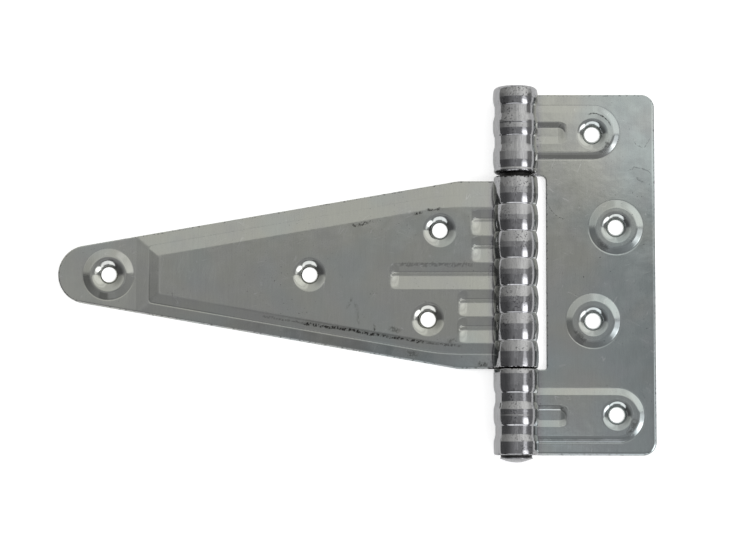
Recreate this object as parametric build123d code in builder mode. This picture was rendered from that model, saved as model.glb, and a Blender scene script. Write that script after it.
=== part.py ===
from build123d import *
import math
import os

# Tee hinge of pressed sheet steel: a long tapering strap leaf, a rectangular butt leaf and a pin.
# Frame: the pin runs along Y, the strap points to -X, the butt leaf to +X, and the backs of
# both leaves lie on Z = 0. The origin is under the pin, on the strap's centre line.
# All sizes are in millimetres.

# Sheet
sheet = 2.3  # thickness of both leaves
emboss = 0.8  # how far the pressed areas stand forward of the sheet around them

# Barrel
barrel_radius = 10.0  # outside of the curl where the sheet is not pressed forward
curl_angle = 315.0  # the curl stops short of the leaf that it started from
curl_step = 0.02  # the curl's wave is this much shallower than the pressing, at bulges and grooves
pin_clearance = 0.05
knuckle_chamfer = 0.7  # at the knuckles' ends
crimp_chamfer = 1.5  # the upper knuckle's free end is beaten in further, over the pin

# Pin
pin_recess = 0.6  # the pin's upper end lies this far inside the upper knuckle
pin_chamfer = 0.6
pin_neck = 0.8  # bare pin between the lower knuckle and the upset head
head_flare = 0.5  # how far the upset head stands out round the pin
head_rim = 0.6
head_dome = 1.8

# Strap leaf
strap_reach = 203.2  # from the pin's axis to the tip
strap_half = 41.8  # half the width beside the barrel
shoulder = 25.1  # from the pin's axis to where the taper starts
shoulder_round = 20.0
tip_radius = 13.0
strap_creep = 1.3  # the strap's knuckle stands this far above its upper edge
creep_run = 8.0  # the edge drifts out to the knuckle's end over this length

# Raised panel of the strap, measured from the strap's own edges
panel_side = 6.9  # beside the parallel edges
panel_taper = 5.55  # beside the tapering edges
panel_end = 162.4  # from the pin's axis
panel_wall = 4.2  # width of the sloping wall
panel_bend_round = 95.0
panel_corner_round = 2.5

# Sunken ribs that run from the strap's panel into the barrel
rib_pitch = 12.0
rib_half = 0.8  # half the width of a rib's flat floor
rib_wall = 3.6
rib_runout = 1.0  # a rib's floor ends this much earlier than its rim, so the end slopes gently
rib_short = 18.8  # reach of the two upper ribs
rib_medium = 24.6  # reach of the two lower ribs
rib_long = 53.7  # reach of the middle rib

# Raised boss round the strap's end hole
tip_boss_radius = 11.3
tip_boss_wall = 3.1

# Butt leaf
butt_width = 62.2  # from the pin's axis
butt_height = 160.4
butt_rise = 0.4  # the butt leaf's middle lies this far above the strap's centre line
butt_corner = 6.0
window_gap = 3.8  # between the barrel and the butt leaf
window_upper_round = 2.2
window_lower_round = 0.9
upper_play = 1.0  # between the strap's knuckle and the upper one
lower_play = 0.2  # between the strap's knuckle and the lower one
butt_creep = 1.8  # the upper knuckle stands this far above the butt leaf's edge

# Raised bosses round the butt leaf's holes, two of them drawn out into slots to the barrel
boss_radius = 11.9
boss_wall = 2.8
slot_rib_half = 2.1
slot_rib_reach = 19.9
end_bulge = 0.4  # where a butt knuckle's end bulge lies between the slot (0) and the knuckle's end (1)

# Countersunk screw holes
hole_radius = 3.35
sink_radius = 6.3
sink_angle = 100.0
dimple_radius = 5.2  # the sheet round each hole is dished back to the back plane
end_hole_outset = 1.4  # the butt's end holes sit this far out from the middles of its knuckle strips
butt_near = 34.5  # first and third hole, from the pin's axis
butt_far = 44.8  # second and fourth hole
strap_tip_hole = 180.7
strap_middle_hole = 91.15
strap_upper_hole = 33.3
strap_lower_hole = 38.5
strap_hole_side = 19.85  # upper and lower holes, from the centre line

# Derived sizes
front = sheet + emboss
pin_radius = barrel_radius - emboss - sheet - pin_clearance
strap_top = strap_half + strap_creep
tip_centre = strap_reach - tip_radius
taper = math.atan2(strap_half, tip_centre - shoulder) - math.asin(
    tip_radius / math.hypot(strap_half, tip_centre - shoulder)
)
slot_groove = (slot_rib_half + boss_radius) / 2  # middle of the raised band beside a slot's rib
butt_bottom = butt_rise - butt_height / 2
butt_top = butt_rise + butt_height / 2
end_hole_margin = (butt_height / 2 - strap_half) / 2 - end_hole_outset
butt_hole_pitch = (butt_height - 2 * end_hole_margin) / 3
window_bottom = -strap_half - lower_play
window_top = strap_top + upper_play
window_edge = barrel_radius + window_gap
butt_screws = [
    (butt_near, butt_rise + 1.5 * butt_hole_pitch),
    (butt_far, butt_rise + 0.5 * butt_hole_pitch),
    (butt_near, butt_rise - 0.5 * butt_hole_pitch),
    (butt_far, butt_rise - 1.5 * butt_hole_pitch),
]
strap_screws = [
    (-strap_tip_hole, 0),
    (-strap_middle_hole, 0),
    (-strap_upper_hole, strap_hole_side),
    (-strap_lower_hole, -strap_hole_side),
]
pin_axis_point = (0, 0, barrel_radius)


def slot_outline(end_x, y, half_width):
    """Outline of a pressing that leaves the barrel and ends in a half round."""
    end_radius = math.copysign(half_width, end_x)
    with BuildSketch() as outline:
        with BuildLine():
            lower = Line((0, y - half_width), (end_x, y - half_width))
            upper = Line((end_x, y + half_width), (0, y + half_width))
            ThreePointArc(lower @ 1, (end_x + end_radius, y), upper @ 0)
            Line(upper @ 1, lower @ 0)
        make_face()
    return outline.sketch


def round_outline(x, y, radius):
    with BuildSketch() as outline:
        with Locations((x, y)):
            Circle(radius)
    return outline.sketch


def panel_outline(inset, bend_round, corner_round):
    """Outline of the strap's raised panel, drawn in by an inset on every side but the barrel's."""
    side = strap_half - panel_side - inset
    edge_drop = (panel_taper + inset) / math.cos(taper)
    bend_x = -shoulder - (panel_side + inset - edge_drop) / math.tan(taper)
    end_x = -panel_end + inset
    end_half = strap_half - edge_drop - (-shoulder - end_x) * math.tan(taper)
    with BuildSketch() as outline:
        with BuildLine():
            Polyline(
                (0, -side), (bend_x, -side), (end_x, -end_half),
                (end_x, end_half), (bend_x, side), (0, side),
                close=True,
            )
        make_face()
        by_x = outline.vertices().group_by(Axis.X)
        fillet(by_x[0], corner_round)
        fillet(by_x[1], bend_round)
    return outline.sketch


def pressing(foot, crown):
    """A shallow block from its foot outline up to its crown outline, one emboss height above."""
    with BuildPart() as block:
        with BuildSketch():
            add(foot)
        with BuildSketch(Plane.XY.offset(emboss)):
            add(crown)
        loft(ruled=True)
    return block.part


def knuckle_section(bottom, top, bulges, grooves, top_chamfer):
    """Section of a knuckle where it starts to curl round the pin: waved outside, plain in the bore.

    Bulges follow the sheet that lies on the back plane, grooves the areas pressed forward from it.
    """
    low = curl_step
    bore = front - curl_step
    wave = sorted([(y, low) for y in bulges] + [(y, emboss - curl_step) for y in grooves])
    outside = [(bottom + knuckle_chamfer, low), *wave, (top - top_chamfer, low)]
    with BuildSketch(Plane.YZ) as section:
        with BuildLine():
            Spline(*outside, tangents=[(1, 0)] * len(outside))
            Polyline(
                outside[-1], (top, low + top_chamfer), (top, bore),
                (bottom, bore), (bottom, low + knuckle_chamfer), outside[0],
            )
        make_face()
    return section.sketch


# Strap leaf: outline
with BuildSketch() as strap_outline:
    touch_x = -tip_centre - tip_radius * math.sin(taper)
    touch_y = tip_radius * math.cos(taper)
    with BuildLine():
        Polyline((0, strap_top), (-creep_run, strap_half), (-shoulder, strap_half), (touch_x, touch_y))
        ThreePointArc((touch_x, touch_y), (-strap_reach, 0), (touch_x, -touch_y))
        Polyline((touch_x, -touch_y), (-shoulder, -strap_half), (0, -strap_half), (0, strap_top))
    make_face()
    shoulders = strap_outline.vertices().filter_by(lambda v: abs(v.X + shoulder) < 1e-6)
    fillet(shoulders, shoulder_round)

# Strap leaf: raised panel with its sunken ribs
ribs = [
    (2 * rib_pitch, rib_short),
    (rib_pitch, rib_short),
    (0, rib_long),
    (-rib_pitch, rib_medium),
    (-2 * rib_pitch, rib_medium),
]
strap_ribs = [
    pressing(
        slot_outline(rib_runout - reach, y, rib_half),
        slot_outline(-reach, y, rib_half + rib_wall),
    )
    for y, reach in ribs
]
strap_panel = pressing(
    panel_outline(0, panel_bend_round + panel_wall, panel_corner_round),
    panel_outline(panel_wall, panel_bend_round, panel_corner_round),
)
with BuildPart() as strap_pressing:
    add(strap_panel)
    add(strap_ribs, mode=Mode.SUBTRACT)
    add(
        pressing(
            round_outline(-strap_tip_hole, 0, tip_boss_radius),
            round_outline(-strap_tip_hole, 0, tip_boss_radius - tip_boss_wall),
        )
    )

# Butt leaf: slots with a sunken rib each, and round bosses
with BuildPart() as butt_pressing:
    for x, y in (butt_screws[0], butt_screws[3]):
        add(pressing(slot_outline(x, y, boss_radius), slot_outline(x, y, boss_radius - boss_wall)))
        rib = pressing(
            slot_outline(slot_rib_reach - rib_runout, y, slot_rib_half),
            slot_outline(slot_rib_reach, y, slot_rib_half + boss_wall),
        )
        add(rib, mode=Mode.SUBTRACT)
    for x, y in (butt_screws[1], butt_screws[2]):
        add(pressing(round_outline(x, y, boss_radius), round_outline(x, y, boss_radius - boss_wall)))


def press_sheet(outline, pressed):
    """Flat sheet with the pressed areas raised on its front and hollow on its back."""
    with BuildPart() as blank:
        with BuildSketch():
            add(outline)
        extrude(amount=sheet)
        with Locations((0, 0, sheet)):
            add(pressed)
        add(pressed, mode=Mode.SUBTRACT)
    return blank.part


def screw_seats(places):
    """Dish the sheet back to the back plane at each place, and countersink a hole there."""
    with Locations(*places):
        Cone(
            dimple_radius,
            dimple_radius + emboss * math.tan(math.radians(sink_angle / 2)),
            emboss,
            align=(Align.CENTER, Align.CENTER, Align.MIN),
        )
    with Locations(*[(x, y, front) for x, y in places]):
        CounterSinkHole(hole_radius, sink_radius, front, sink_angle)


strap_blank = press_sheet(strap_outline.sketch, strap_pressing.part)
with BuildPart() as strap_leaf:
    add(strap_blank)
    revolve(
        knuckle_section(
            -strap_half,
            strap_top,
            [step * rib_pitch for step in (-3, -2, -1, 0, 1, 2, 3)],
            [step * rib_pitch for step in (-2.5, -1.5, -0.5, 0.5, 1.5, 2.5)],
            knuckle_chamfer,
        ),
        Axis(pin_axis_point, (0, -1, 0)),
        revolution_arc=curl_angle,
    )
    screw_seats(strap_screws)
strap_leaf.part.label = "strap_leaf"

with BuildSketch() as butt_outline:
    with BuildLine():
        Polyline(
            (0, butt_bottom), (butt_width, butt_bottom), (butt_width, butt_top),
            (creep_run, butt_top), (0, butt_top + butt_creep),
            close=True,
        )
    make_face()
    fillet(butt_outline.vertices().group_by(Axis.X)[-1], butt_corner)
    with BuildSketch(mode=Mode.SUBTRACT) as window:
        with BuildLine():
            Polyline(
                (0, window_bottom), (window_edge, window_bottom),
                (window_edge, window_top), (0, window_top),
                close=True,
            )
        make_face()
        right_side = window.vertices().group_by(Axis.X)[-1].sort_by(Axis.Y)
        fillet(right_side[0], window_lower_round)
        fillet(window.vertices().sort_by(Axis.X)[-1], window_upper_round)

butt_blank = press_sheet(butt_outline.sketch, butt_pressing.part)
with BuildPart() as butt_leaf:
    add(butt_blank)
    for bottom, top, (_, middle), top_chamfer in (
        (butt_bottom, window_bottom, butt_screws[3], knuckle_chamfer),
        (window_top, butt_top + butt_creep, butt_screws[0], crimp_chamfer),
    ):
        below = middle - boss_radius
        above = middle + boss_radius
        revolve(
            knuckle_section(
                bottom,
                top,
                [below + end_bulge * (bottom - below), middle, above + end_bulge * (top - above)],
                [middle - slot_groove, middle + slot_groove],
                top_chamfer,
            ),
            Axis(pin_axis_point, (0, 1, 0)),
            revolution_arc=curl_angle,
        )
    screw_seats(butt_screws)
butt_leaf.part.label = "butt_leaf"

# Pin: plain rod, upset into a low domed head under the lower knuckle
with BuildPart() as hinge_pin:
    head_radius = pin_radius + head_flare
    neck_y = butt_bottom - pin_neck
    rim_y = neck_y - head_rim
    top_y = butt_top + butt_creep - pin_recess
    with BuildSketch(Plane.YZ) as half_section:
        with BuildLine():
            Polyline(
                (rim_y - head_dome, barrel_radius),
                (top_y, barrel_radius),
                (top_y, barrel_radius + pin_radius - pin_chamfer),
                (top_y - pin_chamfer, barrel_radius + pin_radius),
                (neck_y, barrel_radius + pin_radius),
                (rim_y, barrel_radius + head_radius),
            )
            dome_radius = (head_radius**2 + head_dome**2) / (2 * head_dome)
            RadiusArc((rim_y, barrel_radius + head_radius), (rim_y - head_dome, barrel_radius), -dome_radius)
        make_face()
    revolve(axis=Axis(pin_axis_point, (0, 1, 0)))
hinge_pin.part.label = "hinge_pin"

os.makedirs("parts", exist_ok=True)
for piece in (strap_leaf, butt_leaf, hinge_pin):
    export_step(piece.part, f"parts/{piece.part.label}.step")
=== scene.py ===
import math

import bpy
import numpy as np
from mathutils import Matrix, Vector
from mathutils.geometry import delaunay_2d_cdt


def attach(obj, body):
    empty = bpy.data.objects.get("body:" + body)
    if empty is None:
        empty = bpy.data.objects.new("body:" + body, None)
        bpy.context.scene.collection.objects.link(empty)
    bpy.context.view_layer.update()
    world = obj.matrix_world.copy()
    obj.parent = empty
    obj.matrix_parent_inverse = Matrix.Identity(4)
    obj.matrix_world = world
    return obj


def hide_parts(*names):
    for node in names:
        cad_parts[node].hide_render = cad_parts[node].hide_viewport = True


# Both leaves are drawn as one sheet each, in millimetres on the flat blank: u runs from the line
# under the pin out along the leaf and, below zero, round the curl; v is the frame's Y; n is the
# height above the sheet's back. The blank is then laid flat and its tongues are curled.

MM = 0.001

# Sheet and barrel
SHEET = 2.3
EMBOSS = 0.8
BARREL_RADIUS = 10.0
CURL = math.radians(315)
CURL_LENGTH = BARREL_RADIUS * CURL
CURL_STEP = 0.03
CURL_BLEND = 9.0  # the strap's ribs turn into the barrel's corrugation over this length
CORRUGATION = 12.0
NOTCH = 0.16  # the corrugation's grooves have a sharp bottom line this deep
NOTCH_HALF = 0.3
WOBBLE = 0.012  # the flat sheet is uneven by a few times this much
CREASE = 0.036  # depth of the fine groove that the press leaves along the foot of each form
CREASE_HALF = 0.26

# Strap leaf
STRAP_REACH = 203.2
STRAP_HALF = 41.8
KNUCKLE_GAP = 42.7  # the strap's knuckle ends here, a dark gap away from the butt's
SHOULDER = 25.1
TIP_RADIUS = 13.0
TIP_HOLE = 180.7
TIP_CENTRE = STRAP_REACH - TIP_RADIUS
TAPER = math.atan2(STRAP_HALF, TIP_CENTRE - SHOULDER) - math.asin(
    TIP_RADIUS / math.hypot(STRAP_HALF, TIP_CENTRE - SHOULDER)
)
STRAP_SCREWS = [(180.7, 0.0), (91.15, 0.0), (33.3, 19.85), (38.5, -19.85)]
PANEL_SIDE = 6.9
PANEL_TAPER = 5.55
PANEL_END = 162.4
PANEL_WALL = 4.2
PANEL_CORNER = 1.45
PANEL_END_CORNER = 1.5
PANEL_CREASE = 1.9
MARGIN_RISE = 0.3  # the margin round the panel slopes down this much to the strap's edge
RIBS = [(24.0, 17.2), (12.0, 17.2), (0.0, 53.4), (-12.0, 23.2), (-24.0, 23.2)]
# a rib: half its floor, its wall, the length over which its end grows shallow, and how much wider
# its lower wall is than its upper one
STRAP_RIB = {"half": 1.0, "wall": 3.9, "head": 5.0, "lower": 1.25}
RIB_BLUNT = 0.8  # a rib's end is this much of a half round
STRAP_ROLL = (0.3, 1.0)  # the punch drags the front down this deep, this far in from the edge
TIP_BOSS_RADIUS = 11.3
TIP_BOSS_WALL = 3.1

# Butt leaf
BUTT_WIDTH = 62.2
BUTT_BOTTOM = -79.8
BUTT_TOP = 80.6
KNUCKLE_TOP = 82.4
WINDOW_EDGE = 13.8
WINDOW_BOTTOM = -42.0
WINDOW_TOP = 44.1
BUTT_SCREWS = [(34.5, 62.8), (44.8, 21.2), (34.5, -20.4), (44.8, -62.0)]
BOSS_RADIUS = 11.9
BOSS_WALL = 2.8
SLOT_WALL = 2.4
SLOT_RIB = {"half": 2.1, "wall": SLOT_WALL, "head": 4.2, "lower": 1.0}
SLOT_RIB_REACH = 19.2
SLOT_SHIFT = [0.8, None, None, -0.25]  # how far above its hole a slot lies; the others are round
BUTT_ROLL = (0.55, 1.7)
BUTT_CORNER = 6.0
KNUCKLE_STEPS = [73.9, 60.1, -52.8, -67.0]  # where the butt's knuckles drop into a groove
STEP_WALL = 4.3
STEP_FLOOR = 4.0
STEP_RISE = 3.0
LINE_PAIRS = [65.0, -61.6]  # where two fine lines cross the butt's knuckles
LIP_TOP = 46.1  # the upper knuckle draws in to a lip at its lower end
LIP_WALL = 4.0

# Screw holes
HOLE_RADIUS = 3.35
STRAP_SINK = 6.85
BUTT_SINK = 6.3
SINK_SOFT = 0.26
SINK_DEPTH = 2.3
DIMPLE_RADIUS = 5.2
DIMPLE_FLARE = 0.95

# Pin
PIN_RADIUS = 6.85
PIN_TOP = 81.8
NECK_Y = -80.6
RIM_Y = -81.2
HEAD_Y = -83.0
HEAD_RADIUS = 7.35

# Mesh fineness: spacing of points where the sheet bends sharply, and along its edges; on walls
# it is twice as wide, and on plain sheet eight times
CREASE_STEP = 0.312
EDGE_STEP = 0.75
SHARP_BEND = 0.12
SLIGHT_BEND = 0.015
SEAT_RINGS = (3.42, 3.6, 3.9, 4.3, 4.7, 5.1, 5.5, 5.8, 6.1, 6.4, 6.7, 7.0, 7.3, 7.6, 7.9)
DIMPLE_RINGS = (3.5, 4.3, 5.1, 5.4, 5.8, 6.2, 6.6)
ROUND_STEPS = (22.5, 45.0, 67.5, 90.0)
FRONT_ROUND = 0.55  # rolled-over edge of the punched sheet
BACK_ROUND = 0.15
KNUCKLE_ROUND = 0.75
CRIMP_ROUND = 1.7  # the upper knuckle's free end is beaten in over the pin
RING_POINTS = 72

# Camera, solved from the photograph
IMAGE_WIDTH = 732
FOCAL_PX = 2248.0
CAMERA_AT = (-0.0450, -0.0855, 0.9961)
CAMERA_TILT = 4.92
CAMERA_YAW = 1.21
CAMERA_ROLL = 0.049

# Marks on the front, in metres: start, end, half width, strength; the arcs also by centre and radius. The
# strokes are grease and dirt, except the two of strength 12, which are painted shade in the gaps between
# the knuckles; the arcs are painted shade along dents
GREASE_AND_GAP_SHADE = [
    ((-0.112, -0.0185), (-0.0929, -0.0217), 0.0005, 0.45),
    ((-0.0945, -0.0214), (-0.0400, -0.0301), 0.0009, 1.0),
    ((-0.0420, -0.0301), (-0.0245, -0.0317), 0.0006, 0.6),
    ((-0.0720, 0.0216), (-0.0636, 0.0236), 0.0010, 0.9),
    ((-0.0450, 0.0268), (-0.0414, 0.0279), 0.0009, 0.9),
    ((-0.0393, 0.0288), (-0.0330, 0.0292), 0.0007, 0.8),
    ((-0.0512, 0.0046), (-0.0190, 0.0044), 0.0012, 0.3),
    ((-0.0742, -0.0150), (-0.0722, -0.0105), 0.0009, 0.4),
    ((-0.0706, -0.0130), (-0.0692, -0.0220), 0.0009, 0.3),
    ((-0.0624, -0.0225), (-0.0624, -0.0256), 0.0005, 0.9),
    ((-0.0554, -0.0240), (-0.0512, -0.0250), 0.0015, 0.6),
    ((-0.0300, -0.0300), (-0.0262, -0.0290), 0.0016, 0.5),
    ((-0.0480, -0.0350), (-0.0430, -0.0352), 0.0018, 0.6),
    ((-0.0160, -0.0398), (-0.0128, -0.0398), 0.0012, 0.8),
    ((0.0540, 0.0432), (0.0572, 0.0410), 0.0006, 0.35),
    # painted shade in the gaps above and below the strap's knuckle
    ((-0.0078, 0.0433), (0.0078, 0.0433), 0.0017, 12.0),
    ((-0.0110, -0.0418), (0.0105, -0.0418), 0.0004, 12.0),
    ((0.0530, -0.0640), (0.0500, -0.0705), 0.0024, 0.6),
    ((0.0425, 0.0590), (0.0385, 0.0540), 0.0020, 0.6),
    ((0.0370, 0.0150), (0.0410, 0.0112), 0.0014, 0.5),
    ((0.0268, -0.0250), (0.0310, -0.0295), 0.0014, 0.5),
]
# painted shade along dents in the butt leaf
DENT_SHADE_ARCS = [
    ((0.0343, 0.0629), 0.0092, 0.0004, 0.0330, 0.0424, False, 0.8),
    ((0.0564, 0.0609), 0.0036, 0.0003, 0.0528, 0.0600, True, 0.2),
    ((0.0545, 0.0398), 0.0080, 0.0003, 0.0505, 0.0602, False, 0.28),
    ((0.0248, 0.0352), 0.0108, 0.0003, 0.0145, 0.0220, True, 0.6),
]

# Light, as the metal sees it: 1 is white
ROOM = 0.4
ROOM_ABOVE = 0.475
BOX = 0.81
LAMP = 3.0
FLOOR_LIFT = 0.6
FLOOR_LIFT_MIRRORED = 0.3

# Places in the surroundings, as parts of a unit direction: x from, to, softness, then y the same
LIT_WALL = ((-0.13, 0.04, 0.02), (-0.42, -0.2, 0.03))
STAND = ((-0.34, -0.15, 0.02), (-0.56, -0.28, 0.03))
CAMERA_SHADE = ((-0.09, -0.005, 0.025), (-0.14, -0.01, 0.03))
CEILING_SPOT = ((-0.19, -0.12, 0.006), (0.03, 0.12, 0.02))
SILL = ((0.03, 0.085, 0.012), (-0.06, 0.018, 0.006))
LAMP_CENTRE = (0.67, -0.26)
LAMP_RADII = (0.2, 0.36)
SIDE_WINDOWS = [(-0.86, -0.22, 1.7), (0.42, 0.93, 1.8)]  # x from, to, strength
MIDDLE_WINDOW = (-0.22, 0.42, 1.5)
WINDOW_SOFT = 0.06


def soft_corner(t, s):
    """0 below 0 and t above, the corner rounded over s to each side."""
    return np.where(t < -s, 0.0, np.where(t > s, t, (t + s) ** 2 / (4 * s)))


def ramp(t, foot=0.07, crown=0.17):
    """0 below 0 and 1 above 1, straight between, with a crisp foot and a rounder crown."""
    return soft_corner(t, foot) - soft_corner(t - 1, crown)


def crease(distance):
    """Depth of the fine groove just outside a foot line, from the distance outside it."""
    return CREASE * np.exp(-(((distance - CREASE_HALF * 0.5) / CREASE_HALF) ** 2))


def fade(t):
    t = np.clip(t, 0, 1)
    return t * t * (3 - 2 * t)


def soft_min(a, b, k):
    return np.minimum(a, b) - np.maximum(k - np.abs(a - b), 0) ** 2 / (4 * k)


def slot_distance(u, v, end_u, mid_v, squeeze=1.0):
    """Distance from the line that comes along the sheet at mid_v and ends at end_u."""
    return np.hypot(np.maximum(u - end_u, 0) * squeeze, v - mid_v)


def rib_cut(u, v, reach, mid_v, half, wall, head, lower):
    """0 on a sunken rib's floor and 1 outside the rib; and the depth of the groove along its floor."""
    distance = slot_distance(u, v, reach, mid_v, RIB_BLUNT)
    below = fade(0.5 - (v - mid_v) / 2)
    wall = wall * (1 + (lower - 1) * below)
    cut = ramp((distance - half - 0.35 * below) / wall, 0.07 + 0.18 * below, 0.1)
    past_floor = reach + half / RIB_BLUNT + 1.6 - u
    above = 1 - fade(0.2 - (v - mid_v) / 1.5)
    groove = crease(half + 0.3 - distance) * above * fade(past_floor / 1.5)
    return 1 - (1 - cut) * fade(past_floor / head), groove


def foot_crease(distance, v, mid_v, half):
    """The groove along a form's foot: deep on its lower side, hardly there on its upper side."""
    return crease(distance) * (0.2 + 0.8 * fade(0.5 - (v - mid_v) / half))


def wobble(u, v, seed):
    """Slight unevenness of the flat sheet, never below zero."""
    rng = np.random.default_rng(seed)
    total = np.zeros_like(u)
    for _ in range(7):
        angle = rng.uniform(0, math.pi)
        length = rng.uniform(26, 70)
        phase = rng.uniform(0, 2 * math.pi)
        total += np.sin((u * math.cos(angle) + v * math.sin(angle)) * 2 * math.pi / length + phase)
    return WOBBLE * (total + 7) / 2


def line_bump(distance, half):
    return np.exp(-((distance / half) ** 2))


def end_tuck(v, bottom, top, depth, width):
    """A knuckle's outside draws in towards its ends."""
    near = np.minimum(v - bottom, top - v)
    return depth * np.clip(1 - near / width, 0, 1) ** 2


def corrugation(v):
    """The strap's knuckle: rounded bulges between grooves that end in a sharp line."""
    last = 3 * CORRUGATION
    crest = CORRUGATION * np.round(np.clip(v, -last, last) / CORRUGATION)
    off = np.abs(v - crest) * 2 / CORRUGATION
    notch = NOTCH * line_bump((off - 1) * CORRUGATION / 2, NOTCH_HALF)
    return np.where(np.abs(v) > last, 0.5 * EMBOSS * off**2, EMBOSS * off**2.1 + notch)


def strap_shape(u, v):
    """Height of the sheet over its back plane, and depth of the fine grooves in its front."""
    to_side = STRAP_HALF - np.abs(v)
    to_taper = to_side * math.cos(TAPER) - (u - SHOULDER) * math.sin(TAPER)
    inside = soft_min(to_side - PANEL_SIDE, to_taper - PANEL_TAPER, PANEL_CORNER)
    inside = soft_min(inside, PANEL_END - u, PANEL_END_CORNER)
    panel = ramp(inside / PANEL_WALL)
    rise = MARGIN_RISE * fade(u / 12)
    base = rise * np.clip(1 + np.minimum(inside, 0) / (PANEL_SIDE - 0.8), 0, 1)
    cut = np.ones_like(u)
    grooves = PANEL_CREASE * foot_crease(-inside, v, 0, 6)
    for mid_v, reach in RIBS:
        wall, floor_groove = rib_cut(u, v, reach, mid_v, **STRAP_RIB)
        cut = cut * wall
        grooves = np.maximum(grooves, floor_groove)
    from_tip = np.hypot(u - TIP_HOLE, v)
    tip = ramp((TIP_BOSS_RADIUS - from_tip) / TIP_BOSS_WALL)
    grooves = np.maximum(grooves, foot_crease(from_tip - TIP_BOSS_RADIUS, v, 0, TIP_BOSS_RADIUS))
    relief = np.maximum((base + (EMBOSS - base) * panel) * cut, EMBOSS * tip)
    relief = relief + wobble(u, v, 3) * fade(u / 10)
    curled = fade(-u / CURL_BLEND)
    relief = relief + (np.maximum(corrugation(v), CURL_STEP) - relief) * curled
    to_lower_edge = np.minimum(STRAP_HALF + v, to_taper) + 9 * (v > 0)
    grooves = np.maximum(grooves, rolled_edge(to_lower_edge, *STRAP_ROLL))
    return relief, grooves * fade(u / 4)


def knuckle_steps(v):
    """The butt's knuckles: each groove drops off sharply on one side and rises gently on the other."""
    depth = np.zeros_like(v)
    for edge in KNUCKLE_STEPS:
        t = np.clip((edge + STEP_WALL - v) / STEP_WALL, 0, 1)
        wall = 0.75 * t**1.8 + 0.25 * t**8
        rise = ramp((v - edge + STEP_FLOOR + STEP_RISE) / STEP_RISE)
        depth = np.maximum(depth, EMBOSS * np.where(v > edge, wall, rise))
    return depth


def butt_curl(v):
    """How far the butt's knuckles are drawn in: steps, fine lines, tucked ends and the upper lip."""
    depth = knuckle_steps(v)
    for mid_v in LINE_PAIRS:
        depth += 0.05 * line_bump(np.abs(v - mid_v) - 0.8, 0.2)
    depth += end_tuck(v, BUTT_BOTTOM, WINDOW_BOTTOM, 0.3, 3.5) * (v < 0)
    depth += end_tuck(v, WINDOW_TOP - 9, KNUCKLE_TOP, 0.5, 5.0) * (v > 0)
    t = np.clip((LIP_TOP + LIP_WALL - v) / LIP_WALL, 0, 1)
    return depth + (0.55 * t**1.8 - 0.2 * line_bump(v - LIP_TOP + 0.9, 0.5)) * (v > 0)


def butt_shape(u, v):
    """Height of the sheet over its back plane, and depth of the fine grooves in its front."""
    relief = np.zeros_like(u)
    grooves = np.zeros_like(u)
    for (hole_u, hole_v), shift in zip(BUTT_SCREWS, SLOT_SHIFT):
        if shift is None:
            mid_v = hole_v
            outside = np.hypot(u - hole_u, v - hole_v) - BOSS_RADIUS
            boss = ramp(-outside / BOSS_WALL)
        else:
            mid_v = hole_v + shift
            outside = slot_distance(u, v, hole_u, mid_v) - BOSS_RADIUS
            wall, floor_groove = rib_cut(u, v, SLOT_RIB_REACH, mid_v, **SLOT_RIB)
            boss = ramp(-outside / SLOT_WALL, 0.07, 0.3) * wall
            grooves = np.maximum(grooves, floor_groove)
        grooves = np.maximum(grooves, foot_crease(outside, v, mid_v, BOSS_RADIUS))
        relief = np.maximum(relief, EMBOSS * boss)
    relief = relief + wobble(u, v, 8) * fade(u / 10)
    curled = fade(-u / CURL_BLEND)
    relief = relief + (np.maximum(butt_curl(v), CURL_STEP) - relief) * curled
    past_right = np.maximum(u - BUTT_WIDTH + BUTT_CORNER, 0)
    past_bottom = np.maximum(BUTT_BOTTOM + BUTT_CORNER - v, 0)
    to_edge = BUTT_CORNER - np.hypot(past_right, past_bottom)
    grooves = np.maximum(grooves, rolled_edge(to_edge, *BUTT_ROLL))
    return relief, grooves * fade(u / 4)


def seat_front(n, radius, sink):
    """The front surface n sinks to the screw hole in a countersink, steeper towards the hole."""
    inside = soft_corner((sink - radius) / (sink - HOLE_RADIUS), SINK_SOFT)
    return np.where(radius < sink + 1.5, n - SINK_DEPTH * (0.6 * inside + 0.4 * inside**3), n)


def seat_back(n, radius):
    """The back surface comes down to the back plane round the screw hole."""
    return n * ramp((radius - DIMPLE_RADIUS) / DIMPLE_FLARE)


def rolled_edge(distance, depth, width):
    """How far the punch drags the front down beside the sheet's edge."""
    return depth * np.clip(1 - distance / width, 0, 1) ** 2


def rounded_loop(corners, step):
    """Closed loop round corners (u, v, radius), counter-clockwise, its points about step apart."""
    points = [np.array(c[:2], float) for c in corners]
    pieces = []
    for i, corner in enumerate(points):
        before = points[i - 1] - corner
        after = points[(i + 1) % len(points)] - corner
        before, after = before / np.linalg.norm(before), after / np.linalg.norm(after)
        radius = corners[i][2]
        half = math.acos(np.clip(before @ after, -1, 1)) / 2
        run = radius / math.tan(half)
        start, end = corner + before * run, corner + after * run
        centre = corner + (before + after) / np.linalg.norm(before + after) * radius / math.sin(half)
        a0 = math.atan2(*(start - centre)[::-1])
        turn = math.atan2(*(end - centre)[::-1]) - a0
        turn = (turn + math.pi) % (2 * math.pi) - math.pi
        count = max(4, math.ceil(abs(turn) * radius / (step * 0.8)))
        angles = a0 + turn * np.linspace(0, 1, count + 1)
        pieces.append(centre + radius * np.column_stack([np.cos(angles), np.sin(angles)]))
    loop = []
    for arc, following in zip(pieces, pieces[1:] + pieces[:1]):
        loop.extend(arc)
        gap = np.linalg.norm(following[0] - arc[-1])
        count = max(1, round(gap / step))
        loop.extend(arc[-1] + (following[0] - arc[-1]) * k / count for k in range(1, count))
    loop = np.array(loop)
    return loop[np.linalg.norm(loop - np.roll(loop, 1, 0), axis=1) > step * 0.01]


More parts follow.
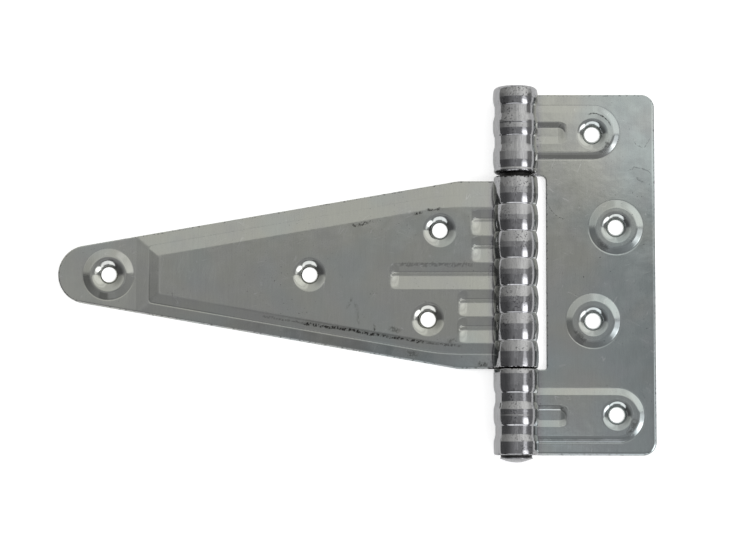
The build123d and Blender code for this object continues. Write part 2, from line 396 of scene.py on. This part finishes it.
def inward(loop, distance):
    """The loop moved into the sheet by a distance that may differ from point to point."""
    following = np.roll(loop, -1, 0) - loop
    following /= np.linalg.norm(following, axis=1)[:, None]
    left = np.column_stack([-following[:, 1], following[:, 0]])
    before = np.roll(left, 1, 0)
    mitre = (left + before) / (1 + np.sum(left * before, 1))[:, None]
    return loop + mitre * np.asarray(distance)[:, None]


def ring(centre, radius):
    """Circle round a hole, clockwise, so that the sheet is on its left as well."""
    angles = -np.arange(RING_POINTS) * 2 * math.pi / RING_POINTS
    return np.array(centre) + radius * np.column_stack([np.cos(angles), np.sin(angles)])


def inside_loop(loop, u, v):
    """Which of the points (u, v), a row at one v, lie inside the loop."""
    a, b = loop, np.roll(loop, -1, 0)
    crosses = (a[:, 1] > v) != (b[:, 1] > v)
    a, b = a[crosses], b[crosses]
    at = a[:, 0] + (v - a[:, 1]) * (b[:, 0] - a[:, 0]) / (b[:, 1] - a[:, 1])
    return np.searchsorted(np.sort(at), u) % 2 == 1


def bend(shape, u, v):
    """How sharply the sheet's front or back curves at a point, in 1/mm."""
    h = CREASE_STEP
    relief, grooves = shape(u, v)
    total = np.zeros_like(u)
    for du, dv in ((h, 0), (-h, 0), (0, h), (0, -h)):
        near_relief, near_grooves = shape(u + du, v + dv)
        total += near_relief - near_grooves - relief + grooves
    return np.abs(total) / h**2


def spread_out(values, reach):
    """Each value replaced by the highest one within reach cells along the rows and columns."""
    for axis in (0, 1):
        values = np.max([np.roll(values, k, axis) for k in range(-reach, reach + 1)], axis=0)
    return values


def worth_keeping(shape, u, v, shows):
    """Which points of a fine grid to keep: all at sharp bends, fewer at slight ones, few elsewhere."""
    row, column = np.indices(u.shape)
    sharp = spread_out(bend(shape, u, v), 2)
    slight = spread_out(sharp, 3) > SLIGHT_BEND
    sharp = sharp > SHARP_BEND
    outer_curl = (u < 0) & (shows == "back")
    seen = outer_curl if shows == "back" else u > -2
    eighths = (row % 8 == 0) & ((column + 4 * (row // 8 % 2)) % 8 == 0)
    halves = (row % 2 == 0) & ((column + row // 2 % 2) % 2 == 0)
    quarters = halves & (row % 4 == 0) & (column % 4 == 0)
    return eighths | halves & (slight & seen | outer_curl | sharp) | quarters & slight | sharp & seen


def fill_points(loop, holes, hole_radius, shape, shows):
    """Points inside the loop and outside the holes, dense where the sheet bends."""
    step = CREASE_STEP
    rows = np.arange(loop[:, 1].min(), loop[:, 1].max(), step * 0.9) + 0.003
    columns = np.arange(loop[:, 0].min(), loop[:, 0].max(), step) + 0.002
    keep = worth_keeping(shape, *np.meshgrid(columns, rows), shows)
    margin = step * 0.75
    kept = []
    for i, at_v in enumerate(rows):
        at_u = columns[keep[i]]
        clear = np.ones(len(at_u), bool)
        for du, dv in ((0, 0), (margin, 0), (-margin, 0), (0, margin), (0, -margin)):
            clear &= inside_loop(loop, at_u + du, at_v + dv)
        for hole in holes:
            clear &= np.hypot(at_u - hole[0], at_v - hole[1]) > hole_radius + margin
        kept.append(np.column_stack([at_u[clear], np.full(clear.sum(), at_v)]))
    return np.concatenate(kept)


def triangulate(loops, edge_loops, points):
    """Triangles over the area between the loops. The first edge_loops loops are the sheet's edges."""
    coords = np.concatenate([*loops, points])
    edges = []
    start = 0
    for loop in loops:
        ids = np.arange(start, start + len(loop))
        edges.extend(zip(ids.tolist(), np.roll(ids, -1).tolist()))
        start += len(loop)
    edge_count = sum(len(loop) for loop in loops[:edge_loops])
    result = delaunay_2d_cdt([Vector(p) for p in coords], edges, [], 0, 1e-9, False)
    if len(result[0]) != len(coords):
        raise RuntimeError(f"the outline crosses itself: {len(coords)} {len(result[0])}")
    triangles = np.array(result[2])
    return coords, triangles[~np.all(triangles < edge_count, axis=1)]


def lay_and_curl(u, v, n, side):
    """Points of the blank laid flat towards side, with what lies below u = 0 curled round the pin."""
    angle = np.minimum(u, 0) / -BARREL_RADIUS
    reach = BARREL_RADIUS - n
    x = np.where(u > 0, u, -reach * np.sin(angle)) * side
    z = np.where(u > 0, n, BARREL_RADIUS - reach * np.cos(angle))
    return np.column_stack([x, v, z]) * MM


def surface_normals(u, v, height):
    """Upward normals, still on the blank, of the curled surface that lies at height(u, v)."""
    h = 0.03
    reach = np.where(u < 0, BARREL_RADIUS - height(u, v), BARREL_RADIUS)
    slope_u = (height(u + h, v) - height(u - h, v)) / (2 * h) * BARREL_RADIUS / reach
    slope_v = (height(u, v + h) - height(u, v - h)) / (2 * h)
    normals = np.column_stack([-slope_u, -slope_v, np.ones_like(u)])
    return normals / np.linalg.norm(normals, axis=1)[:, None]


def turn_normals(u, normals, side):
    """Normals given on the blank, turned to where the blank is laid and curled."""
    angle = np.minimum(u, 0) / -BARREL_RADIUS
    along, across, up = normals.T
    x = (along * np.cos(angle) + up * np.sin(angle)) * side
    z = -along * np.sin(angle) + up * np.cos(angle)
    turned = np.column_stack([x, across, z])
    return turned / np.linalg.norm(turned, axis=1)[:, None]


def surface_height(shape, holes, sink, shows):
    """The function that gives the height n of the leaf's front or back at (u, v)."""

    def height(u, v):
        relief, grooves = shape(u, v)
        n = relief + SHEET - grooves if shows == "front" else relief
        for hole in holes:
            radius = np.hypot(u - hole[0], v - hole[1])
            n = seat_front(n, radius, sink) if shows == "front" else seat_back(n, radius)
        return n

    return height


def surface(outline, holes, sink, shape, rounding, ring_radii, shows, side):
    """One face of a leaf, its edge rounded: points, normals, triangles, and 1 for points of the rim."""
    height = surface_height(shape, holes, sink, shows)
    facing = 1 if shows == "front" else -1
    arcs = np.radians(ROUND_STEPS)
    loops = [outline, *[ring(hole, HOLE_RADIUS) for hole in holes]]
    edge_loops = len(loops)
    drops = [rounding, *[np.zeros(RING_POINTS)] * len(holes)]
    for arc in arcs:
        loops.append(inward(outline, rounding * (1 - math.cos(arc))))
        drops.append(rounding * (1 - math.sin(arc)))
    loops.append(inward(outline, rounding + 0.35))
    drops.append(np.zeros(len(outline)))
    inner = loops[-1]
    for hole in holes:
        for radius in ring_radii:
            loops.append(ring(hole, radius))
            drops.append(np.zeros(RING_POINTS))
    fill = fill_points(inner, holes, ring_radii[-1], shape, shows)
    coords, triangles = triangulate(loops, edge_loops, fill)
    u, v = coords[:, 0], coords[:, 1]
    n = height(u, v) - np.concatenate([*drops, np.zeros(len(fill))]) * facing
    normals = surface_normals(u, v, height) * facing

    outward = outline - inward(outline, np.ones(len(outline)))
    outward /= np.linalg.norm(outward, axis=1)[:, None]
    outward = np.column_stack([outward, np.zeros(len(outline))])
    starts = np.cumsum([0] + [len(loop) for loop in loops])
    rim = np.zeros(len(coords))
    for k, arc in zip([0, *range(edge_loops, edge_loops + len(arcs))], [0, *arcs]):
        rows = slice(starts[k], starts[k + 1])
        normals[rows] = math.sin(arc) * normals[rows] + math.cos(arc) * outward
        rim[rows] = 1
    return lay_and_curl(u, v, n, side), turn_normals(u, normals, side), triangles, rim


def wall_faces(loops, offset):
    """Quads from the front's loops to the same loops on the back, whose points come offset later."""
    walls = []
    start = 0
    for loop in loops:
        ids = start + np.arange(len(loop))
        following = np.roll(ids, -1)
        walls.append(np.column_stack([following, ids, ids + offset, following + offset]))
        start += len(loop)
    return np.concatenate(walls)


def hole_wall_normals(normals, outline, holes, offset, side):
    """The normals with those round each hole turned to its middle, for the faces inside the hole."""
    normals = normals.copy()
    for k, hole in enumerate(holes):
        inwards = (np.array(hole) - ring(hole, HOLE_RADIUS)) * (side, 1) / HOLE_RADIUS
        ids = len(outline) + k * RING_POINTS + np.arange(RING_POINTS)
        for rows in (ids, ids + offset):
            normals[rows] = np.column_stack([inwards, np.zeros(RING_POINTS)])
    return normals


def smooth_object(name, points, faces):
    mesh = bpy.data.meshes.new(name)
    mesh.from_pydata(points, [], faces)
    mesh.polygons.foreach_set("use_smooth", [True] * len(mesh.polygons))
    mesh.update()
    item = bpy.data.objects.new(name, mesh)
    bpy.context.scene.collection.objects.link(item)
    return item


def sheet_mesh(name, corners, holes, sink, shape, edge_round, side):
    """A leaf: front and back surfaces with rounded edges, joined round the outline and the holes."""
    outline = rounded_loop(corners, EDGE_STEP)
    front_round = np.where(outline[:, 0] > -1, FRONT_ROUND, 0.2)
    front, front_normals, front_faces, front_rim = surface(
        outline, holes, sink, shape, front_round, SEAT_RINGS, "front", side
    )
    back, back_normals, back_faces, back_rim = surface(
        outline, holes, sink, shape, edge_round(outline), DIMPLE_RINGS, "back", side
    )
    offset = len(front)
    normals = np.concatenate([front_normals, back_normals])
    triangles = np.concatenate([front_faces, back_faces[:, ::-1] + offset])
    walls = wall_faces([outline, *[ring(hole, HOLE_RADIUS) for hole in holes]], offset)
    if side < 0:
        triangles, walls = triangles[:, ::-1], walls[:, ::-1]
    wall_normals = hole_wall_normals(normals, outline, holes, offset, side)
    points = np.concatenate([front, back])
    leaf = smooth_object(name, points.tolist(), triangles.tolist() + walls.tolist())
    corner_normals = np.concatenate([normals[triangles.ravel()], wall_normals[walls.ravel()]])
    leaf.data.normals_split_custom_set(corner_normals.tolist())
    rim = leaf.data.attributes.new("rim", "FLOAT", "POINT")
    rim.data.foreach_set("value", np.concatenate([front_rim, back_rim]))
    return leaf


def strap_leaf():
    tip_half = STRAP_HALF - (STRAP_REACH - SHOULDER) * math.tan(TAPER)
    corners = [
        (-CURL_LENGTH, KNUCKLE_GAP, 1.3),
        (-CURL_LENGTH, -STRAP_HALF, 1.3),
        (SHOULDER, -STRAP_HALF, 20.0),
        (STRAP_REACH, -tip_half, TIP_RADIUS),
        (STRAP_REACH, tip_half, TIP_RADIUS),
        (SHOULDER, STRAP_HALF, 20.0),
        (8.0, STRAP_HALF, 14.0),
        (0.0, KNUCKLE_GAP, 14.0),
    ]

    def edge_round(loop):
        return BACK_ROUND + (KNUCKLE_ROUND - BACK_ROUND) * fade(-loop[:, 0] / 3)

    return sheet_mesh("strap_sheet", corners, STRAP_SCREWS, STRAP_SINK, strap_shape, edge_round, -1)


def butt_leaf():
    corners = [
        (-CURL_LENGTH, KNUCKLE_TOP, 2.2),
        (-CURL_LENGTH, WINDOW_TOP, 1.3),
        (WINDOW_EDGE, WINDOW_TOP, 2.2),
        (WINDOW_EDGE, WINDOW_BOTTOM, 0.9),
        (-CURL_LENGTH, WINDOW_BOTTOM, 1.3),
        (-CURL_LENGTH, BUTT_BOTTOM, 1.3),
        (BUTT_WIDTH, BUTT_BOTTOM, BUTT_CORNER),
        (BUTT_WIDTH, BUTT_TOP, BUTT_CORNER),
        (8.0, BUTT_TOP, 12.0),
        (0.0, KNUCKLE_TOP, 12.0),
    ]

    def edge_round(loop):
        end = np.where(loop[:, 1] > 75, CRIMP_ROUND, KNUCKLE_ROUND)
        return BACK_ROUND + (end - BACK_ROUND) * fade(-loop[:, 0] / 3)

    return sheet_mesh("butt_sheet", corners, BUTT_SCREWS, BUTT_SINK, butt_shape, edge_round, 1)


def pin_profile():
    """(y, radius) of the turned rod, from its upper end to the top of its domed head."""
    profile = [(PIN_TOP, 0.0), (PIN_TOP, PIN_RADIUS - 0.6), (PIN_TOP - 0.2, PIN_RADIUS - 0.25)]
    profile += [(PIN_TOP - 0.6, PIN_RADIUS), (44.0, PIN_RADIUS), (-42.0, PIN_RADIUS)]
    profile += [(NECK_Y, PIN_RADIUS), (NECK_Y - 0.3, PIN_RADIUS + 0.2)]
    profile.append((RIM_Y + 0.1, HEAD_RADIUS - 0.02))
    dome = (HEAD_RADIUS**2 + 1.8**2) / (2 * 1.8)
    for k in range(1, 15):
        radius = HEAD_RADIUS * (1 - k / 15)
        profile.append((HEAD_Y + dome - math.sqrt(dome**2 - radius**2), radius))
    profile.append((HEAD_Y, 0.0))
    return profile


def pin():
    """Turned rod with an upset head whose dome is beaten slightly uneven."""
    profile = pin_profile()
    sides = 96
    phase = np.random.default_rng(5).uniform(0, 2 * math.pi)
    verts = []
    for y, radius in profile[1:-1]:
        for k in range(sides):
            angle = 2 * math.pi * k / sides
            beaten = 0.0
            if y < RIM_Y:
                beaten = 0.05 * (1 + math.sin(3 * angle + phase + radius))
                beaten *= math.sin(math.pi * radius / HEAD_RADIUS)
            x, z = radius * math.sin(angle), BARREL_RADIUS + radius * math.cos(angle)
            verts.append((x, y + beaten, z))
    faces = []
    for row in range(len(profile) - 3):
        for k in range(sides):
            a, b = row * sides + k, row * sides + (k + 1) % sides
            faces.append((a, b, b + sides, a + sides))
    verts.append((0, PIN_TOP, BARREL_RADIUS))
    verts.append((0, HEAD_Y, BARREL_RADIUS))
    last = (len(profile) - 3) * sides
    for k in range(sides):
        faces.append((len(verts) - 2, (k + 1) % sides, k))
        faces.append((len(verts) - 1, last + k, last + (k + 1) % sides))
    return smooth_object("pin_rod", [tuple(c * MM for c in p) for p in verts], [f[::-1] for f in faces])


class Wires:
    """Short hand for building a node tree."""

    def __init__(self, tree):
        self.nodes = tree.nodes
        self.links = tree.links

    def put(self, value, socket):
        if isinstance(value, bpy.types.NodeSocket):
            self.links.new(value, socket)
        else:
            socket.default_value = value

    def math(self, operation, *values):
        node = self.nodes.new("ShaderNodeMath")
        node.operation = operation
        for value, socket in zip(values, node.inputs):
            self.put(value, socket)
        return node.outputs[0]

    def plus(self, a, b):
        return self.math("ADD", a, b)

    def minus(self, a, b):
        return self.math("SUBTRACT", a, b)

    def times(self, a, b):
        return self.math("MULTIPLY", a, b)

    def spread(self, value, low, high, to_low=0.0, to_high=1.0):
        """to_low where value is below low, to_high above high, and smooth between."""
        node = self.nodes.new("ShaderNodeMapRange")
        node.interpolation_type = "SMOOTHSTEP"
        for item, socket in zip((value, low, high, to_low, to_high), node.inputs):
            self.put(item, socket)
        return node.outputs[0]

    def between(self, value, low, high, soft):
        """1 between low and high, fading out over soft at both."""
        rise = self.spread(value, low - soft, low + soft)
        fall = self.spread(value, high - soft, high + soft, 1.0, 0.0)
        return self.times(rise, fall)

    def area(self, x, y, sides):
        """1 where x and y are both between their (low, high, soft)."""
        return self.times(self.between(x, *sides[0]), self.between(y, *sides[1]))

    def mix(self, factor, a, b):
        node = self.nodes.new("ShaderNodeMix")
        node.data_type = "RGBA"
        self.put(factor, node.inputs[0])
        self.put(a, node.inputs[6])
        self.put(b, node.inputs[7])
        return node.outputs[2]

    def noise(self, place, size, detail, long=1.0, turn=0.0):
        """Noise with forms about size metres across, and long times longer along the direction turn."""
        mapping = self.nodes.new("ShaderNodeMapping")
        mapping.vector_type = "TEXTURE"
        mapping.inputs["Rotation"].default_value = (0, 0, turn)
        mapping.inputs["Scale"].default_value = (size * long, size, size)
        self.links.new(place, mapping.inputs["Vector"])
        node = self.nodes.new("ShaderNodeTexNoise")
        node.inputs["Scale"].default_value = 1.0
        node.inputs["Detail"].default_value = detail
        self.links.new(mapping.outputs[0], node.inputs["Vector"])
        return node.outputs[0]

    def scratches(self, place):
        """Hairlines: thin contours of stretched noise, shown only in patches."""
        total = None
        for turn, size in ((0.35, 0.004), (1.2, 0.005), (2.6, 0.0045)):
            lines = self.noise(place, size, 1.0, long=9, turn=turn)
            off = self.math("ABSOLUTE", self.minus(lines, 0.5))
            patch = self.spread(self.noise(place, 0.006, 2.0, turn=turn), 0.57, 0.67)
            line = self.times(self.spread(off, 0.0, 0.006, 1, 0), patch)
            total = line if total is None else self.math("MAXIMUM", total, line)
        return self.times(total, 0.45)

    def specks(self, place):
        """Small dark pits, in loose clusters."""
        fine = self.spread(self.noise(place, 0.0009, 2.0), 0.7, 0.76)
        cluster = self.spread(self.noise(place, 0.02, 2.0, turn=0.7), 0.45, 0.65)
        return self.times(fine, self.times(cluster, 0.8))

    def stroke(self, x, y, start, end, half, soft):
        """1 along the line from start to end, in metres, fading out over half to its sides."""
        length = math.dist(start, end)
        cos, sin = (end[0] - start[0]) / length, (end[1] - start[1]) / length
        along = self.plus(self.times(x, cos), self.times(y, sin))
        across = self.minus(self.times(y, cos), self.times(x, sin))
        across = self.minus(across, start[1] * cos - start[0] * sin)
        begin = start[0] * cos + start[1] * sin
        width = self.spread(self.math("ABSOLUTE", across), half * 0.4, half, 1, 0)
        return self.times(self.between(along, begin, begin + length, soft), width)

    def arc(self, x, y, centre, radius, half, from_x, to_x, below):
        """A thin arc about centre, kept between from_x and to_x, under or over the centre."""
        dx = self.minus(x, centre[0])
        dy = self.minus(y, centre[1])
        squares = self.plus(self.math("POWER", dx, 2.0), self.math("POWER", dy, 2.0))
        off = self.math("ABSOLUTE", self.minus(self.math("SQRT", squares), radius))
        half_plane = self.math("LESS_THAN" if below else "GREATER_THAN", dy, 0.0)
        part = self.times(self.between(x, from_x, to_x, 0.001), half_plane)
        return self.times(part, self.spread(off, half * 0.4, half, 1, 0))

    def soil_and_shade(self, place, x, y):
        """Black grease and rubbed dirt, where the photograph shows it on the front, with painted shade in
        the two gaps between the knuckles and along dents.
        """
        shift = self.noise(place, 0.002, 3.0)
        x = self.plus(x, self.spread(shift, 0.2, 0.8, -0.0004, 0.0004))
        y = self.plus(y, self.spread(shift, 0.2, 0.8, 0.0005, -0.0005))
        total = None
        # grease and dirt strokes; the two strongest are painted shade in the knuckle gaps
        for start, end, half, strength in GREASE_AND_GAP_SHADE:
            mark = self.stroke(x, y, start, end, half, 0.0012)
            mark = self.times(mark, strength)
            total = mark if total is None else self.math("MAXIMUM", total, mark)
        # painted shade along dents
        for centre, radius, half, from_x, to_x, below, strength in DENT_SHADE_ARCS:
            mark = self.arc(x, y, centre, radius, half, from_x, to_x, below)
            total = self.math("MAXIMUM", total, self.times(mark, strength))
        ragged = self.spread(self.noise(place, 0.0008, 3.0, long=1.6, turn=1.1), 0.38, 0.58, 0.1, 1)
        return self.math("MINIMUM", self.times(total, ragged), 0.95)


def shade(tone, red, green, blue):
    """The tone with its red, green and blue scaled."""
    return (tone[0] * red, tone[1] * green, tone[2] * blue, 1)


def passivation(wires, place, x, y, tone):
    """Yellowish by the pin, bluish green to the right and below the strap; plain on the barrel."""
    drift = wires.noise(place, 0.03, 2.0)
    right = wires.spread(x, 0.02, 0.055)
    bottom = wires.times(wires.spread(y, -0.02, -0.04), wires.spread(x, 0.0, 0.05, 1.0, 0.1))
    cool = wires.math("MAXIMUM", right, bottom)
    cool = wires.plus(cool, wires.spread(drift, 0.3, 0.7, -0.5, 0.5))
    colour = wires.mix(cool, shade(tone, 0.985, 1.0, 0.925), shade(tone, 0.9, 1.0, 1.0))
    leaf = wires.spread(wires.math("ABSOLUTE", x), 0.0095, 0.013)
    colour = wires.mix(leaf, shade(tone, 0.84, 0.84, 0.86), colour)
    return barrel_grime(wires, place, colour, wires.minus(1.0, leaf))


def barrel_grime(wires, place, colour, barrel):
    """Dark streaks along the barrel, and blots in patches."""
    streaks = wires.noise(place, 0.0005, 3.0, long=7, turn=math.pi / 2)
    streaks = wires.spread(streaks, 0.4, 0.75, 0.0, 0.25)
    blots = wires.spread(wires.noise(place, 0.0008, 4.0), 0.55, 0.64)
    patches = wires.spread(wires.noise(place, 0.011, 2.0, turn=0.4), 0.45, 0.62, 0.1, 0.9)
    grime = wires.math("MAXIMUM", streaks, wires.times(blots, patches))
    return wires.mix(wires.times(grime, barrel), colour, (0.06, 0.06, 0.065, 1))


def stain_and_grain(wires, place, colour, tone):
    """Broad dull stains, and the rolling grain across the sheet."""
    stain = wires.spread(wires.noise(place, 0.012, 4.0), 0.35, 0.75)
    colour = wires.mix(wires.times(stain, 0.35), colour, shade(tone, 0.86, 0.86, 0.9))
    grain = wires.noise(place, 0.0006, 3.0, long=14, turn=math.pi / 2)
    return wires.mix(wires.spread(grain, 0.25, 0.75, 0.0, 0.12), colour, (0.28, 0.28, 0.28, 1))


def worn_rim(wires, place, colour):
    """The sheared rim is blackened here and there."""
    rim = wires.nodes.new("ShaderNodeAttribute")
    rim.attribute_name = "rim"
    shear = wires.noise(place, 0.0011, 2.0)
    worn = wires.times(rim.outputs["Fac"], wires.spread(shear, 0.55, 0.65, 0.0, 0.75))
    return wires.mix(worn, colour, (0.05, 0.05, 0.05, 1))


def zinc_plating(name, tone, roughness, greasy_shaded_shank=False):
    """Semi-bright zinc with uneven passivation tints, rolling grain, hairline scratches and specks."""
    material = bpy.data.materials.new(name)
    material.use_nodes = True
    wires = Wires(material.node_tree)
    shader = wires.nodes["Principled BSDF"]
    place = wires.nodes.new("ShaderNodeTexCoord").outputs["Object"]
    split = wires.nodes.new("ShaderNodeSeparateXYZ")
    wires.links.new(place, split.inputs[0])
    x, y = split.outputs[0], split.outputs[1]

    colour = passivation(wires, place, x, y, tone)
    colour = stain_and_grain(wires, place, colour, tone)
    scratches = wires.scratches(place)
    colour = wires.mix(scratches, colour, (0.6, 0.6, 0.6, 1))
    specks = wires.specks(place)
    colour = wires.mix(specks, colour, (0.05, 0.05, 0.052, 1))
    # grease, dirt and painted shade, darkening the colour and roughening it
    soil_and_shade = wires.soil_and_shade(place, x, y)
    # The pin's whole shank is darkened: grease, and painted shade in the gaps between the knuckles, where
    # it shows.
    if greasy_shaded_shank:
        shank_grease_and_shade = wires.between(y, NECK_Y * MM, 0.09, 0.0002)
        soil_and_shade = wires.math("MAXIMUM", soil_and_shade, wires.times(shank_grease_and_shade, 0.9))
    colour = wires.mix(soil_and_shade, colour, (0.02, 0.019, 0.018, 1))
    wires.links.new(worn_rim(wires, place, colour), shader.inputs["Base Color"])

    shader.inputs["Metallic"].default_value = 1.0
    rough = wires.noise(place, 0.006, 4.0)
    rough = wires.spread(rough, 0.3, 0.7, roughness - 0.02, roughness + 0.05)
    wires.links.new(wires.plus(rough, wires.times(soil_and_shade, 0.35)), shader.inputs["Roughness"])
    bump = wires.nodes.new("ShaderNodeBump")
    bump.inputs["Strength"].default_value = 1.0
    bump.inputs["Distance"].default_value = 0.001
    peel = wires.times(wires.noise(place, 0.0035, 2.0), 0.012)
    cut = wires.times(wires.plus(scratches, specks), -0.004)
    wires.links.new(wires.plus(peel, cut), bump.inputs["Height"])
    wires.links.new(bump.outputs[0], shader.inputs["Normal"])
    return material


def camera():
    data = bpy.data.cameras.new("camera")
    data.sensor_fit = "HORIZONTAL"
    data.sensor_width = 36.0
    data.lens = 36.0 * FOCAL_PX / IMAGE_WIDTH
    data.clip_start = 0.05
    eye = bpy.data.objects.new("camera", data)
    turn = (
        Matrix.Rotation(math.radians(CAMERA_TILT), 4, "X")
        @ Matrix.Rotation(math.radians(CAMERA_YAW), 4, "Y")
        @ Matrix.Rotation(math.radians(CAMERA_ROLL), 4, "Z")
    )
    eye.matrix_world = Matrix.Translation(CAMERA_AT) @ turn
    bpy.context.scene.collection.objects.link(eye)
    bpy.context.scene.camera = eye


def floor():
    """White ground: lit as any pale floor, and lifted to white for the eye and for reflections."""
    mesh = bpy.data.meshes.new("floor")
    half = 3.0
    mesh.from_pydata(
        [(-half, -half, 0), (half, -half, 0), (half, half, 0), (-half, half, 0)], [], [(0, 1, 2, 3)]
    )
    ground = bpy.data.objects.new("floor", mesh)
    bpy.context.scene.collection.objects.link(ground)
    material = bpy.data.materials.new("pale_floor")
    material.use_nodes = True
    wires = Wires(material.node_tree)
    shader = wires.nodes["Principled BSDF"]
    shader.inputs["Base Color"].default_value = (0.85, 0.85, 0.85, 1)
    shader.inputs["Roughness"].default_value = 0.9
    path = wires.nodes.new("ShaderNodeLightPath")
    mirrored = wires.math("MAXIMUM", path.outputs["Is Glossy Ray"], path.outputs["Is Transmission Ray"])
    mirrored = wires.times(mirrored, FLOOR_LIFT_MIRRORED)
    seen = wires.times(path.outputs["Is Camera Ray"], FLOOR_LIFT)
    shader.inputs["Emission Color"].default_value = (1, 1, 1, 1)
    wires.links.new(wires.math("MAXIMUM", seen, mirrored), shader.inputs["Emission Strength"])
    mesh.materials.append(material)
    return ground


def room_in_front(wires, x, y):
    """Darkest to the far left; lighter over the strap's lower wall, with a dark stand beside it."""
    light = wires.spread(x, -0.85, -0.1, 0.13, ROOM)
    light = wires.plus(light, wires.times(wires.spread(x, 0.1, 0.5), 0.05))
    light = wires.times(light, wires.spread(x, 0.8, 0.95, 1.0, 0.65))
    light = wires.times(light, wires.spread(y, -0.5, -0.36, 0.72, 1.0))
    light = wires.plus(light, wires.times(wires.area(x, y, LIT_WALL), 0.07))
    return wires.times(light, wires.spread(wires.area(x, y, STAND), 0.0, 1.0, 1.0, 0.65))


def ceiling(wires, x, y, side, front):
    """Overhead it is lighter than in front, but for the camera's shade and a dimmer right part."""
    above = wires.spread(x, 0.085, 0.102, ROOM_ABOVE, ROOM_ABOVE * 0.83)
    begin = wires.spread(side, 0.16, 0.25, -0.06, 0.05)
    near = wires.spread(wires.minus(y, begin), 0.0, 0.08)
    near = wires.times(near, wires.spread(side, 0.6, 0.95, 1.0, 0.4))
    light = wires.plus(front, wires.times(near, wires.minus(above, front)))
    light = wires.times(light, wires.spread(wires.area(x, y, CAMERA_SHADE), 0.0, 1.0, 1.0, 0.68))
    return wires.plus(light, wires.times(wires.area(x, y, CEILING_SPOT), 0.1))


def softbox(wires, x, y, side, room):
    """One wide box: its near edge is just behind the zenith, nearer at the right, further at its ends."""
    edge = wires.spread(side, 0.82, 0.96, 0.137, 0.25)
    edge = wires.minus(edge, wires.spread(x, 0.06, 0.095, 0.0, 0.024))
    box = wires.spread(wires.minus(y, edge), -0.016, 0.016)
    glow = wires.spread(x, -0.95, -0.2, 0.42, BOX)
    glow = wires.plus(glow, wires.spread(x, 0.0, 0.06, 0.0, 0.1))
    glow = wires.plus(glow, wires.spread(x, 0.15, 0.5, 0.0, 0.45))
    glow = wires.times(glow, wires.spread(x, 0.75, 0.97, 1.0, 0.5))
    hot = wires.times(wires.between(x, 0.075, 0.2, 0.025), wires.spread(y, 0.12, 0.16))
    glow = wires.plus(glow, wires.times(hot, 0.2))
    return wires.plus(room, wires.times(box, wires.minus(glow, room)))


def lamp(wires, x, y):
    """An oval lamp to the right, dimmer on its inner side and towards the zenith."""
    across = wires.math("DIVIDE", wires.minus(x, LAMP_CENTRE[0]), LAMP_RADII[0])
    along = wires.math("DIVIDE", wires.minus(y, LAMP_CENTRE[1]), LAMP_RADII[1])
    off = wires.plus(wires.math("POWER", across, 2.0), wires.math("POWER", along, 2.0))
    light = wires.times(wires.spread(off, 0.7, 1.15, LAMP, 0.0), wires.spread(x, 0.5, 0.62, 0.28, 1.0))
    return wires.times(light, wires.spread(y, -0.2, -0.06, 1.0, 0.3))


def windows(wires, x, y, z):
    """Two windows low in front at the sides, and one in the middle that starts a little higher."""
    total = None
    low = wires.times(wires.spread(y, -0.66, -0.6, 1, 0), wires.spread(z, 0.26, 0.42))
    for from_x, to_x, strength in SIDE_WINDOWS:
        window = wires.times(wires.between(x, from_x, to_x, WINDOW_SOFT), low)
        window = wires.times(window, strength)
        total = window if total is None else wires.plus(total, window)
    from_x, to_x, strength = MIDDLE_WINDOW
    window = wires.times(wires.between(x, from_x, to_x, WINDOW_SOFT), wires.spread(z, 0.36, 0.5))
    return wires.plus(total, wires.times(window, wires.spread(y, -0.67, -0.57, strength, 0.0)))


def surroundings():
    """A dim room with one wide softbox behind the hinge, seen in the metal by direction."""
    world = bpy.data.worlds.new("studio")
    bpy.context.scene.world = world
    world.use_nodes = True
    wires = Wires(world.node_tree)
    coords = wires.nodes.new("ShaderNodeTexCoord")
    split = wires.nodes.new("ShaderNodeSeparateXYZ")
    wires.links.new(coords.outputs["Generated"], split.inputs[0])
    x, y, z = split.outputs
    side = wires.math("ABSOLUTE", x)

    room = ceiling(wires, x, y, side, room_in_front(wires, x, y))
    light = softbox(wires, x, y, side, room)
    light = wires.plus(light, lamp(wires, x, y))
    light = wires.plus(light, wires.times(wires.area(x, y, SILL), 0.3))
    light = wires.plus(light, windows(wires, x, y, z))
    light = wires.times(light, wires.spread(z, -0.05, 0.02))

    tint = wires.mix(wires.spread(y, 0.02, 0.2), (0.985, 0.99, 1.02, 1), (1.0, 1.0, 0.975, 1))
    seen = wires.nodes.new("ShaderNodeLightPath").outputs["Is Camera Ray"]
    background = wires.nodes["Background"]
    wires.links.new(wires.mix(seen, tint, (1.0, 1.0, 1.0, 1)), background.inputs["Color"])
    wires.links.new(wires.math("MAXIMUM", light, seen), background.inputs["Strength"])


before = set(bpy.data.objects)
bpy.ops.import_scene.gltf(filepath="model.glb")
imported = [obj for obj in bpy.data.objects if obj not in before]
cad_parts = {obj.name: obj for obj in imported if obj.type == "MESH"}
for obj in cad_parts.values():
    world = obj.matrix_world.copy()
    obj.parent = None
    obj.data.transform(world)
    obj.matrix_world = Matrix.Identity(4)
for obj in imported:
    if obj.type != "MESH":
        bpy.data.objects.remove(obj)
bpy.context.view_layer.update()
bpy.context.scene.view_settings.view_transform = "Standard"
sheet_zinc = zinc_plating("zinc_sheet", (0.45, 0.45, 0.445), 0.09)
pin_zinc = zinc_plating("zinc_pin", (0.42, 0.42, 0.415), 0.14, greasy_shaded_shank=True)

strap = strap_leaf()
strap.data.materials.append(sheet_zinc)
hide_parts("strap_leaf")
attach(strap, "strap")

butt = butt_leaf()
butt.data.materials.append(sheet_zinc)
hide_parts("butt_leaf")
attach(butt, "butt")

rod = pin()
rod.data.materials.append(pin_zinc)
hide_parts("hinge_pin")
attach(rod, "butt")

ground = floor()
camera()
surroundings()
